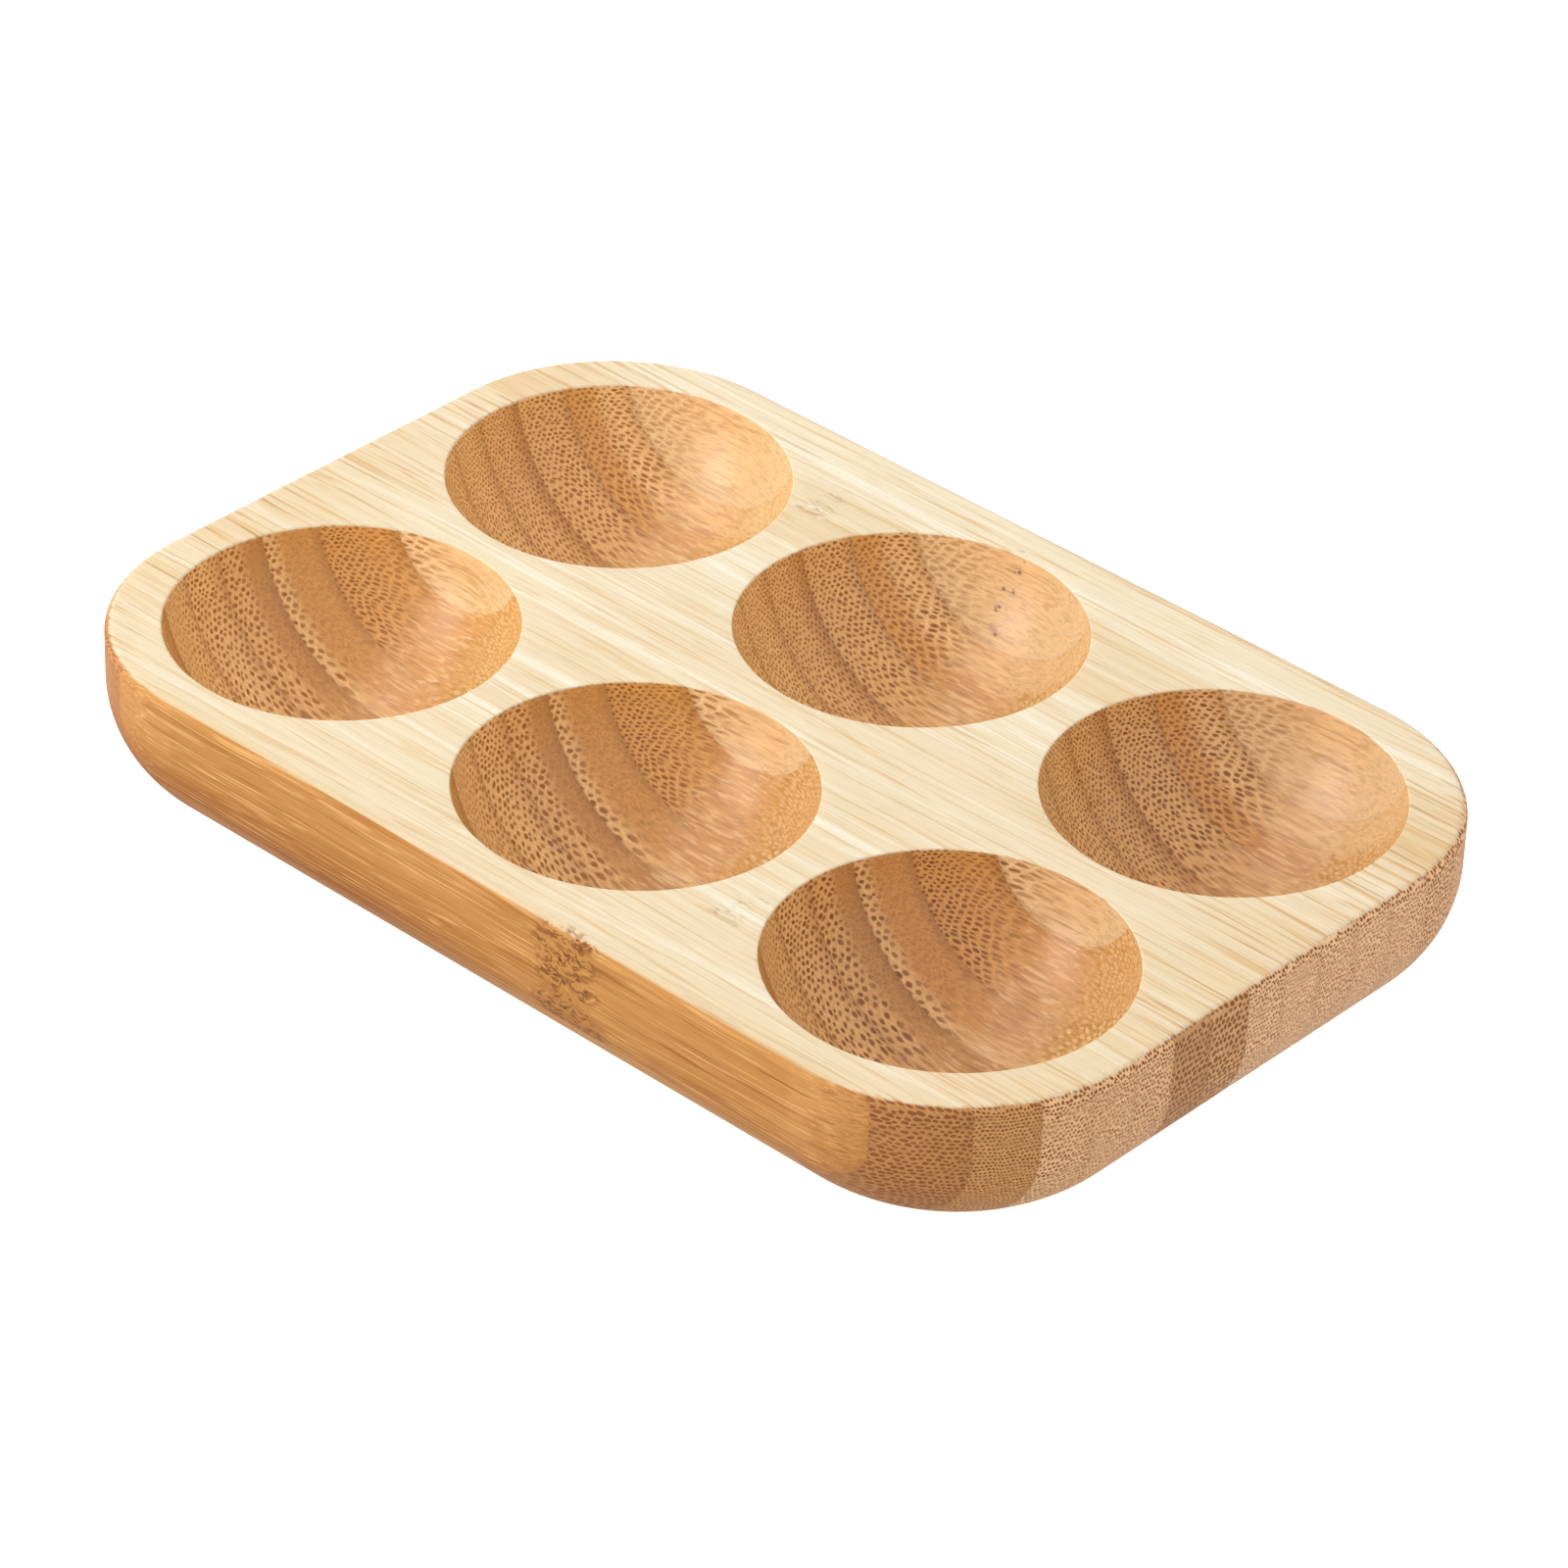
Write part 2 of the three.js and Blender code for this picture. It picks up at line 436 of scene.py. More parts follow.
# %% [markdown]
# ## Points round a section
# At one y the strip's section is a closed line: along the underside, up one end wall, back along the top
# through three bowls, and down the other end wall. Every point of the upper line has its partner straight
# below it on the underside, so that the flat side of a strip closes as a simple ladder that never leaves the
# section. Points crowd at the end walls and at the bowls' walls, where the line is steep.

# %% Section points
ROUND_POINTS, END_POINTS, WEB_POINTS, BOWL_POINTS, RIM_POINTS = 12, 12, 7, 49, 5
LEAST_CHORD, CHORD_STEP = 1.5, 0.05


def wall_points(y):
    """The x along one end's upper quarter round, from the wall inwards, for rows at y. The turn runs from
    the wall to where the round meets the flat or the row leaves the round; x is the corner circle, drawn in
    by the turn's inset."""
    deepest = np.minimum(TOP_EDGE_RADIUS, HALF_WIDTH - np.abs(y))
    turn = np.arccos(1 - deepest / TOP_EDGE_RADIUS) * np.linspace(0, 1, ROUND_POINTS + 1)
    drawn_in = CORNER_RADIUS - TOP_EDGE_RADIUS * (1 - np.cos(turn))
    past = np.maximum(np.abs(y) - (HALF_WIDTH - CORNER_RADIUS), 0)
    return HALF_LENGTH - CORNER_RADIUS + np.sqrt(np.maximum(drawn_in**2 - past**2, 0))


def bowl_points(y):
    """The x across one bowl, from its middle, for rows at y: a sine spread over the ball's chord, and the
    rim's chords at even turns of its small circle. A row that misses the bowl keeps a short chord, so that
    no two points meet."""
    off = y - row_centre(y)
    inner = np.sqrt(np.maximum(RIM_INSIDE**2 - off**2, LEAST_CHORD**2))
    steepest = math.asin((RIM_OUTSIDE - RIM_INSIDE) / EASED_RIM)
    turns = steepest * (1 - np.arange(1, RIM_POINTS + 1) / RIM_POINTS)
    radii = RIM_OUTSIDE - EASED_RIM * np.sin(turns)
    least = LEAST_CHORD + CHORD_STEP * np.arange(1, RIM_POINTS + 1)
    rim = np.sqrt(np.maximum(radii**2 - off**2, least**2))
    ball = inner * np.sin(np.linspace(-1, 1, BOWL_POINTS) * math.pi / 2)
    return np.concatenate([-rim[:, ::-1], ball, rim], axis=1)


def spread(first, last, count):
    """Points spread evenly between two columns of points, without the two."""
    share = np.arange(1, count + 1) / (count + 1)
    return first + (last - first) * share


def section_points(y):
    """The x of all points along a section, row by row: the left round, flats and bowls in turn, the right
    round."""
    end_round = wall_points(y)
    flat_end = end_round[:, -1:]
    bowls = [centre + bowl_points(y) for centre in (-COLUMN_PITCH, 0.0, COLUMN_PITCH)]
    line = [-end_round, spread(-flat_end, bowls[0][:, :1], END_POINTS), bowls[0]]
    for left, right in zip(bowls[:-1], bowls[1:]):
        line += [spread(left[:, -1:], right[:, :1], WEB_POINTS), right]
    line += [spread(bowls[-1][:, -1:], flat_end, END_POINTS), end_round[:, ::-1]]
    return np.concatenate(line, axis=1)


print("points round a section:", 2 * section_points(np.array([[0.0]])).shape[1])

# %% [markdown]
# ## A closed strip
# Rows and section points make a tube of four-sided faces, and two ladders close its flat sides. Neighbouring
# strips stop a hundredth of a millimetre short of the glue line, as pressed strips do, so the eye sees no
# groove. The edges of the flat sides are marked sharp, because the glued side must not bend the light on the
# polished one.

# %% Strip mesh
GLUE_GAP = 0.01


def strip_grid(near, far):
    """All points of a strip as rows by points by three: the section's x, the row's y, and the height of the
    lower or upper surface there. The lower line runs forwards and the upper one backwards, so each row is
    one ring."""
    y = rows_across(near, far)[:, None]
    x = section_points(y)
    across = np.broadcast_to(y, x.shape)
    floor_line = np.stack([x, across, lower_height(x, across)], axis=2)
    top_line = np.stack([x, across, upper_height(x, across)], axis=2)
    return np.concatenate([floor_line, top_line[:, ::-1]], axis=1)


def ring_faces(rows, ring):
    """Four-sided faces between neighbouring rows all the way round, and ladders of them on the first and
    last row that join each lower point to the upper point above it."""
    at = np.arange(rows * ring).reshape(rows, ring)
    after = np.roll(at, -1, axis=1)
    tube = np.stack([at[:-1], at[1:], after[1:], after[:-1]], axis=2).reshape(-1, 4)
    low, high = np.arange(ring // 2), ring - 1 - np.arange(ring // 2)
    ladder = np.stack([low[:-1], low[1:], high[1:], high[:-1]], axis=1)
    return np.concatenate([tube, ladder, ladder[:, ::-1] + (rows - 1) * ring])


def strip_mesh(name, near, far):
    """A strip between two borders as a mesh in metres, smooth on its worked faces and sharp round its glued
    sides, whose edges join two points of the first row or of the last."""
    grid = strip_grid(near, far)
    rows, ring = grid.shape[:2]
    points = grid.reshape(-1, 3) * MM
    mesh = bpy.data.meshes.new(name)
    mesh.from_pydata(points.tolist(), [], ring_faces(rows, ring).tolist(), shade_flat=False)
    ends = np.empty(2 * len(mesh.edges), dtype=np.int32)
    mesh.edges.foreach_get("vertices", ends)
    row = ends.reshape(-1, 2) // ring
    glued = (row[:, 0] == row[:, 1]) & ((row[:, 0] == 0) | (row[:, 0] == rows - 1))
    mesh.attributes.new("sharp_edge", "BOOLEAN", "EDGE").data.foreach_set("value", glued)
    return mesh


sample = strip_grid(borders[1] + GLUE_GAP, borders[2] - GLUE_GAP)
print("rows, points round and numbers of a strip:", sample.shape)

# %% [markdown]
# ## Colours
# Colours are written in the usual 0 to 255 steps and turned into the linear light that a shader works in.
# They were set by comparing renders with the photograph. A bamboo strip is light on the inner side of the
# culm and darker towards the skin, and no two strips are alike, so the grounds have names of their own.
# Bundles are the dark fibres, pith is the light tissue round them, pits are the holes in a knuckle, and the
# flat top, sanded last, is much paler than the faces that cut across the fibres. Bundles and bowls get
# painted shade that darkens them towards +X, away from the lamps. Dyes multiply a colour instead: one paints
# that shade on the bowls, one paints a greyer sheen on the walls that face the lamps, and others mottle the
# sawn ends and tell single fibres apart.

# %% Colours
COLOUR_STEPS = 255
CURVE_KNEE, CURVE_SLOPE, CURVE_LIFT, CURVE_POWER = 0.04045, 12.92, 0.055, 2.4


def paint(red, green, blue):
    """A screen colour as linear light. The screen's curve is a straight line up to its knee, and above it
    the lifted share to a power."""
    share = np.array([red, green, blue]) / COLOUR_STEPS
    curved = ((share + CURVE_LIFT) / (1 + CURVE_LIFT)) ** CURVE_POWER
    linear = np.where(share <= CURVE_KNEE, share / CURVE_SLOPE, curved)
    return (*(float(part) for part in linear), 1.0)


GROUNDS = {
    "pale": paint(236, 191, 136),
    "tan": paint(233, 181, 118),
    "honey": paint(224, 169, 105),
    "amber": paint(216, 154, 83),
    "brown": paint(203, 145, 82),
    "gold": paint(192, 135, 72),
    "rose": paint(231, 179, 126),
    "blush": paint(233, 184, 135),
    "umber": paint(191, 137, 84),
    "taupe": paint(203, 149, 92),
    "russet": paint(187, 126, 66),
}
# Painted shade: the bundles darken from the bowls at -X to those at +X, away from the lamps
LIT_BUNDLE, SHADED_BUNDLE = paint(156, 92, 8), paint(136, 74, 2)
PIT, GLUE = paint(110, 58, 16), paint(132, 82, 36)
PITH, SHADE, SKIN_LINE = paint(244, 200, 144), paint(140, 72, 18), paint(233, 180, 116)
TOP, TOP_LIGHT = paint(223, 205, 170), paint(234, 223, 200)
TOP_WARM, TOP_DARK = paint(216, 183, 132), paint(190, 148, 98)

# Dyes: two that a mask brings in by itself, of which the first is a painted sheen on the walls that face the
# lamps, and three pairs to mix between, of which the first is painted shade towards +X
SHEEN_GREY, LIGHTER = (0.9, 1.01, 1.16, 1.0), (1.2, 1.33, 1.55, 1.0)
LIT_TONE, SHADED_TONE = (1.0, 1.03, 1.02, 1.0), (0.9, 0.89, 0.9, 1.0)
PATCH_DARK, PATCH_LIGHT = (0.8, 0.8, 0.81, 1.0), (1.14, 1.14, 1.15, 1.0)
FIBRE_DARK, FIBRE_LIGHT = (0.88, 0.86, 0.83, 1.0), (1.12, 1.13, 1.14, 1.0)
print("grounds:", list(GROUNDS))

# %% [markdown]
# ## How the fibres run
# Fibres run along the strip, which is X, but never quite straight: they drift a little up, down and
# sideways, and that drift is why a streak on a flat face begins and ends. A smaller wave bends the rows of
# bundles, and a quick shake makes their outlines uneven. The grain and the bundles below are laid out in a y
# and z that follow this run, and hardly change along x.

# %% Fibre run
NOISE_MIDDLE = 0.5
Bend = namedtuple("Bend", "along across reach")
DRIFT, WAVE, SHAKE = Bend(0.02, 0.05, 1.5), Bend(0.04, 0.3, 1.2), Bend(0.1, 1.7, 0.16)


def fibre_run(x, y, z, seed):
    """The y and z of the fibre that passes through a point: the point's own, plus noise of three sizes, each
    with its cells to a millimetre along and across the fibres and its reach in millimetres."""
    run_y, run_z = y, z + seed
    for bend in (DRIFT, WAVE, SHAKE):
        spot = x.vector(x * bend.along, y * bend.across + seed, z * bend.across)
        sideways, upwards, _ = spot.noise().also("Color").parts()
        run_y = run_y + (sideways - NOISE_MIDDLE) * bend.reach
        run_z = run_z + (upwards - NOISE_MIDDLE) * bend.reach
    return run_y, run_z


print("fibres leave their line by up to", (DRIFT.reach + WAVE.reach + SHAKE.reach) / 2, "mm")

# %% [markdown]
# ## Knuckles
# Where the culm had a leaf, its wall has a ring, and there the fibres tangle and leave dark pits. Four such
# knuckles show on this tray. Each is a place along x where the run of the fibres gets an extra swirl, which
# fades away within a few millimetres.

# %% Knuckles
Knuckle = namedtuple("Knuckle", "middle reach swirl dark")
KNUCKLES = {
    "near_edge_strip": Knuckle(18.0, 7.0, 6.0, 1.1),
    "bamboo_strip_03": Knuckle(30.0, 3.0, 1.2, 0.6),
    "bamboo_strip_14": Knuckle(-31.0, 3.5, 2.0, 0.7),
    "bamboo_strip_15": Knuckle(-2.2, 1.8, 1.0, 0.3),
}

# Cells to a millimetre of the ragged border and of the swirl, and of the pits along and across the fibres
RAGGED_CELLS, SWIRL_CELLS, PIT_ALONG, PIT_ACROSS = 0.3, 0.28, 0.6, 0.9
TANGLE_CORE, PIT_EDGE = 0.3, (0.34, 0.16)


def knuckle_run(run_y, run_z, x, y, z, knuckle):
    """The run with a swirl of noise near a knuckle, the share of it there, and the pits: small cells of a
    Voronoi texture, thresholded by their distance."""
    ragged = x.vector(y * RAGGED_CELLS, z * RAGGED_CELLS).noise() - NOISE_MIDDLE
    away = abs(x - knuckle.middle) + ragged * knuckle.reach
    tangle = away.step(knuckle.reach, knuckle.reach * TANGLE_CORE)
    swirl = x.vector(x * SWIRL_CELLS, y * SWIRL_CELLS, z * SWIRL_CELLS).noise()
    sideways, upwards, _ = swirl.also("Color").parts()
    bend = tangle * knuckle.swirl
    run_y = run_y + bend * (sideways - NOISE_MIDDLE)
    run_z = run_z + bend * (upwards - NOISE_MIDDLE)
    spot = x.vector(x * PIT_ALONG, y * PIT_ACROSS, z * PIT_ACROSS)
    hole = spot.node("ShaderNodeTexVoronoi", {}, {"Vector": spot, "Scale": 1.0}, "Distance")
    return run_y, run_z, tangle, hole.step(*PIT_EDGE) * tangle


print("knuckles at x in mm:", {name: knuckle.middle for name, knuckle in KNUCKLES.items()})

# %% [markdown]
# ## Noise along the fibres
# Fibres are long and thin, so most uneven things about a strip are long and thin too. One kind of noise
# gives them all when it is stretched along the run of the fibres: broad bands, streaks, short dashes where a
# pore is cut open, thin lines and single fibres. They differ in how many cells they have to a millimetre
# and in their detail. A mark turns such a noise into a share of some colour: none at one level of the noise,
# and its full share at another.

# %% Stretched noise
Grain = namedtuple("Grain", "along across detail")
GRAINS = {
    "band": Grain(0.012, 0.5, 2.0),
    "streak": Grain(0.028, 1.5, 2.0),
    "dash": Grain(0.25, 2.2, 1.0),
    "line": Grain(0.03, 4.0, 1.0),
    "fibre": Grain(0.1, 6.0, 1.0),
}
Mark = namedtuple("Mark", "none full share")


def stretched_noise(x, run_y, run_z):
    """Each grain's noise by its name: so many cells to a millimetre along x and across, with its detail."""
    grains = SimpleNamespace()
    for name, grain in GRAINS.items():
        spot = x.vector(x * grain.along, run_y * grain.across, run_z * grain.across)
        setattr(grains, name, spot.noise(grain.detail))
    return grains


def marks(noise, mark):
    """How strongly a noise marks the wood: a soft step from the level of none to that of the full share."""
    return noise.step(mark.none, mark.full) * mark.share


for name, grain in GRAINS.items():
    print("a", name, "is about", round(1 / grain.along, 1), "by", round(1 / grain.across, 2), "mm")

# %% [markdown]
# ## Fibre bundles
# Where a face cuts across the fibres, each bundle of them shows as a small dark oval in lighter tissue. The
# ovals stand in rows, each row shifted by half a step, as bricks are. In two slanted coordinates such a
# pattern stands on whole numbers, and there a Voronoi texture finds the nearest bundle. Dots painted in an
# image could never follow the bowls like this: the pattern fills space, so one and the same bundle is a dot
# on the bowl's wall and a streak on its floor.

# %% Bundles
OVAL_SHARE, OVAL_EDGE = 0.32, (1.3, 0.6)
OVAL_SIZES, OVAL_FORCES = (0.8, 1.2), (0.7, 1.0)
NET_WIDTH, NET_FORCES = 0.16, (0.5, 1.5)


def bundles(run_y, run_z, step, row, loose, wide):
    """Two masks. The first is 1 in a bundle's oval, whose size and strength vary by chance. The second is
    1 on the net of lines halfway between bundles. Along y / step + z / (2 row) and y / step - z / (2 row)
    the bundles stand on whole numbers, shaken by the looseness; wide stretches the ovals along their rows."""
    along, over = run_y / step, run_z / (2 * row)
    slanted = along.vector(along + over, along - over)
    given = {"Vector": slanted, "Scale": 1.0, "Randomness": loose}
    cells = slanted.node("ShaderNodeTexVoronoi", {"voronoi_dimensions": "2D"}, given, "Position")
    edges = {"voronoi_dimensions": "2D", "feature": "DISTANCE_TO_EDGE"}
    net = slanted.node("ShaderNodeTexVoronoi", edges, given, "Distance").step(NET_WIDTH, 0.0)
    offset = slanted.node("ShaderNodeVectorMath", {"operation": "SUBTRACT"}, {0: slanted, 1: cells})
    first, second, _ = offset.parts()
    across, up = (first + second) / (2 * OVAL_SHARE * wide), (first - second) / OVAL_SHARE
    size, force, _ = cells.also("Color").parts()
    oval = (slanted.vector(across, up).length() / size.between(*OVAL_SIZES)).step(*OVAL_EDGE)
    return oval * force.between(*OVAL_FORCES), net * force.between(*NET_FORCES)


print("an oval is", 2 * OVAL_SHARE, "of a step wide and as much of a row high")

# %% [markdown]
# ## Each strip's own look
# Seen on the tray, every strip has its own grain: some show big bundles from side to side, some turn smooth
# towards one border, and some are fine all through. A look gives the step from bundle to bundle in
# millimetres, the place across the strip where its near side turns into its far side, how pale or warm its
# sanded top is, and a ground and a strength of bundles for the near side, the far side and the outer end,
# where the board was sawn off. The outer end also has a step of its own, and says how loosely its bundles
# stand in their rows.

# %% Looks
Look = namedtuple("Look", "grain turn top near near_dots far far_dots end end_dots end_step end_loose")
LOOKS = {
    "near_edge_strip": Look(0.70, 0.5, -0.1, "gold", 0.2, "gold", 0.2, "brown", 0.3, 0.6, 0.4),
    "bamboo_strip_01": Look(0.90, 0.7, 0.0, "brown", 1.0, "amber", 0.7, "russet", 1.35, 0.6, 0.3),
    "bamboo_strip_02": Look(0.68, 0.6, 0.1, "honey", 0.8, "brown", 0.4, "brown", 1.0, 0.5, 0.25),
    "bamboo_strip_03": Look(0.95, 0.6, 0.1, "tan", 0.5, "tan", 0.8, "rose", 0.95, 0.6, 0.4),
    "bamboo_strip_04": Look(1.05, 0.7, 0.2, "tan", 1.0, "honey", 1.0, "rose", 0.85, 0.58, 0.4),
    "bamboo_strip_05": Look(1.15, 0.55, -0.1, "honey", 1.0, "brown", 0.15, "rose", 1.0, 0.62, 0.4),
    "bamboo_strip_06": Look(1.15, 0.28, 0.0, "tan", 1.0, "amber", 0.15, "umber", 1.4, 0.88, 0.3),
    "bamboo_strip_07": Look(0.74, 0.5, 0.0, "amber", 1.1, "amber", 0.75, "taupe", 1.7, 0.9, 0.3),
    "bamboo_strip_08": Look(1.00, 0.5, 0.15, "pale", 0.9, "pale", 0.5, "blush", 0.9, 0.6, 0.4),
    "bamboo_strip_09": Look(0.80, 0.5, 0.1, "tan", 0.5, "tan", 0.6, "blush", 0.7, 0.56, 0.45),
    "bamboo_strip_10": Look(0.80, 0.5, 0.2, "tan", 0.8, "tan", 0.9, "blush", 0.9, 0.6, 0.45),
    "bamboo_strip_11": Look(0.74, 0.7, 0.45, "tan", 0.9, "honey", 0.9, "blush", 0.75, 0.6, 0.45),
    "bamboo_strip_12": Look(0.76, 0.7, 0.3, "honey", 0.9, "brown", 1.0, "blush", 0.8, 0.6, 0.45),
    "bamboo_strip_13": Look(0.84, 0.5, -0.35, "honey", 1.0, "honey", 1.1, "rose", 1.25, 0.68, 0.4),
    "bamboo_strip_14": Look(0.86, 0.5, -0.1, "amber", 0.9, "tan", 1.0, "rose", 0.95, 0.66, 0.4),
    "bamboo_strip_15": Look(1.00, 0.5, 0.4, "pale", 0.5, "pale", 0.4, "rose", 0.9, 0.64, 0.4),
    "far_edge_strip": Look(0.90, 0.5, 0.4, "pale", 0.3, "gold", 0.3, "gold", 0.5, 0.8, 0.65),
}
bundle_steps = [look.grain for look in LOOKS.values()]
print("looks:", len(LOOKS), "bundles every", min(bundle_steps), "to", max(bundle_steps), "mm")

# %% [markdown]
# ## Which way a face looks
# Whether a face cuts across the fibres or runs along them is a question of its own direction, read from its
# normal. The bundles are dark of their own, and painted shade makes them darkest on bowl walls that look
# towards +X, away from the lamps, as if the light left their pores in the shade. On walls that look towards
# -X, towards the lamps, they get painted light instead: the cut ends stay pale specks. The outer end of the
# tray is all that lies beyond the last bowls' rims, and the big round below them. The long outer walls get
# painted shade towards the table, most of all towards -X.

# %% Outer end and shade
# How far beyond a bowl's centre the end starts and is full, and how far clear of its rim
END_START, RIM_CLEAR = (0.0, 2.0), 0.4

# How far below the bowls' floors it starts and is full, and how far from the tray's tip it is full there
BELOW_START, BELOW_FULL, LOWER_END = 0.4, 1.0, 12.0

# Heights where the shade starts, is full and eases again at the foot
SHADE_TOP, SHADE_FULL, SHADE_FOOT, FOOT_LIGHT = 21.0, 9.0, 3.0, 0.6
PAST_BOWLS, LONG_WALL = (36.0, 39.0), (0.8, 0.3)
SHADE_ALONG, SHADE_LEAST = (24.0, -24.0), 0.35


def outer_end(x, y, z):
    """1 beyond the last bowl's centre and further from it than its rim, or below the bowls and on the lower
    round."""
    beyond = abs(x) - COLUMN_PITCH
    reach = x.vector(beyond, abs(y) - ROW_PITCH / 2).length()
    past_rim = reach.step(HOLLOW_RADIUS, HOLLOW_RADIUS + RIM_CLEAR) * beyond.step(*END_START)
    below = z.step(BOWL_FLOOR - BELOW_START, BOWL_FLOOR - BELOW_FULL)
    low_round = abs(x).step(HALF_LENGTH - LOWER_EDGE_RADIUS, HALF_LENGTH - LOWER_END)
    return past_rim.most(below * low_round)


def wall_shade(facing, x, y, z):
    """The shade on a long wall, by its height and its place along x. Such a wall lies further out than any
    bowl at its height, and hardly looks along x."""
    fall = z.step(SHADE_TOP, SHADE_FULL) - FOOT_LIGHT * z.step(SHADE_FULL, SHADE_FOOT)
    long_wall = (abs(y) - z).step(*PAST_BOWLS) * abs(facing).step(*LONG_WALL)
    return fall * long_wall * x.step(*SHADE_ALONG).between(SHADE_LEAST, 1.0)


print("the outer end starts", round(COLUMN_PITCH + HOLLOW_RADIUS, 2), "mm from the middle, behind the bowls")

# %% Faces
AHEAD, BEHIND = (0.02, 0.42), (0.05, 0.45)
LEAST_DARK, END_DARK = 0.2, 0.55
OUTER_WALL = 5.0


def face_masks(facing, x, y, z):
    """Masks for how strongly the dark bundles show, fully and with painted shade where walls look towards +X,
    away from the lamps, for the walls that look towards -X and get painted light, for faces along the fibres,
    the outer end, the painted shade of the long walls and the whole outside, from the normal's x and the
    place."""
    end = outer_end(x, y, z)
    ahead, behind = facing.step(*AHEAD), (0.0 - facing).step(*BEHIND)
    return SimpleNamespace(
        # Painted shade: the bundles show darkest on walls that look towards +X, away from the lamps
        dark=ahead.most(behind * end * END_DARK).between(LEAST_DARK, 1.0),
        # Painted light: the walls that look towards -X, towards the lamps, get pale specks and a greyer sheen
        lit_side=behind * (1.0 - end),
        along=1.0 - ahead.most(behind),
        end=end,
        shade=wall_shade(facing, x, y, z),
        outside=end.most(abs(y).step(ROW_PITCH / 2 + HOLLOW_RADIUS, HALF_WIDTH - OUTER_WALL)),
    )


print("bundles are at their darkest where the normal's x is over", AHEAD[1])

# %% [markdown]
# ## The ground of a strip
# A strip's ground is the colour between its bundles. It changes across the strip, from the inner side of the
# culm to the skin, and darkens along the glue lines, where the press drove the glue into the pores. The walls
# that look towards -X, towards the lamps, get a painted sheen that makes them a little greyer, the long outer
# walls get painted shade towards the table, and the sawn ends are mottled: in light patches the ground is
# paler and the bundles stand out more.

# %% Ground
PATCH_ACROSS, PATCH_UP, PATCH_ALONG, PATCH_DETAIL = 0.3, 0.45, 0.05, 2.0
PATCH_DOTS = (0.2, 1.8)
TURN_WIDTH, TURN_RAGGED = 0.16, 0.4
PORE_RISE, PORE_FULL, PORE_FORCE = 22.8, 24.3, 0.5
NEAR_GLUE, FAR_GLUE = (0.06, 0.0), (0.8, 1.0)
GLUE_SHARE, END_GLUE = 0.3, 0.5
GROUND_STREAK = Mark(0.55, 0.3, 0.15)
SHADE_SHARE = 0.7


def end_patches(x, y, z):
    """Noise in patches of a few millimetres, which hardly changes along x."""
    return x.vector(y * PATCH_ACROSS, z * PATCH_UP, x * PATCH_ALONG).noise(PATCH_DETAIL)


def strip_ground(share, streak, patch, z, face, look):
    """The ground's colour and the strength of the bundles at a share of the way across: the near side's,
    turning into the far side's at the look's turn, and on the outer end the end's own, by its patches and
    with open pores below the top edge."""
    ragged = (streak - NOISE_MIDDLE) * TURN_RAGGED
    side = (share + ragged).step(look.turn - TURN_WIDTH, look.turn + TURN_WIDTH)
    end_dots = look.end_dots * patch.between(*PATCH_DOTS) + PORE_FORCE * z.step(PORE_RISE, PORE_FULL)
    dots = face.end.between(side.between(look.near_dots, look.far_dots), end_dots)
    ground = side.tint(GROUNDS[look.near], GROUNDS[look.far])
    ground = face.end.tint(ground, GROUNDS[look.end])
    ground = ground.dyed(patch.tint(PATCH_DARK, PATCH_LIGHT), face.end)
    # Painted sheen: the walls that face the lamps are greyer
    ground = ground.dyed(SHEEN_GREY, face.lit_side)
    border = share.step(*FAR_GLUE).most(share.step(*NEAR_GLUE))
    glue = border * face.dark * face.end.between(1.0, END_GLUE) * GLUE_SHARE
    ground = (glue + marks(streak, GROUND_STREAK)).tint(ground, GLUE)
    return (face.shade * SHADE_SHARE).tint(ground, SHADE), dots


print("open pores from", PORE_RISE, "to", PORE_FULL, "mm up")

# %% [markdown]
# ## Cut across the fibres
# An end-grain face has its ground, a net of light lines between the bundles, fine bundles everywhere and the
# coarse ones by the strip's own strength. On the sawn outer end the rows stand further apart for their step,
# the ovals are wider and the light net is weaker.

# %% End grain
FINE_STEP, FINE_LOOSE = 0.6, 0.7
FINE_SHARE, FINE_HIDDEN = 0.4, 0.8
ROW_SHARE, END_ROW_SHARE = 0.74, 1.15
LOOSE, END_WIDE = 0.4, 1.25
NET, END_NET = 0.75, 0.4


def strip_bundles(run_y, run_z, look, face):
    """The coarse bundles and the net between them, which turn into the look's own on the outer end, and the
    fine bundles, which are the same on every strip."""
    step = face.end.between(look.grain, look.end_step)
    row = step * face.end.between(ROW_SHARE, END_ROW_SHARE)
    loose = face.end.between(LOOSE, look.end_loose)
    coarse, net = bundles(run_y, run_z, step, row, loose, face.end.between(1.0, END_WIDE))
    fine, _ = bundles(run_y, run_z, FINE_STEP, ROW_SHARE * FINE_STEP, FINE_LOOSE, 1.0)
    return coarse, net, fine


def end_grain(ground, bundle, coarse, net, fine, dots, face):
    """The colour of a face that cuts across: the ground, changed in turn by the light net, the pale specks of
    painted light where walls face the lamps, the fine bundles where coarse ones are weak, and the coarse
    ones."""
    light = net * dots * face.dark * face.end.between(NET, END_NET)
    ground = ground.dyed(LIGHTER, light.least(1.0))
    # Painted light: pale specks where the cut ends face the lamps
    ground = (coarse * face.lit_side).tint(ground, PITH)
    ground = (fine * face.dark * (1.0 - dots * FINE_HIDDEN) * FINE_SHARE).tint(ground, bundle)
    return (coarse * dots * face.dark).tint(ground, bundle)


print("fine bundles every", FINE_STEP, "mm")

# %% [markdown]
# ## Cut along the fibres
# The long walls, the bowls' floors and the bowls' sides run along the fibres and show them as fine streaks:
# soft dark ones and thin light lines. In the bowls the tool opens pores as well, which show as short dashes,
# dark or light, and more weakly on the walls with painted light specks. In a knuckle the lines break up.

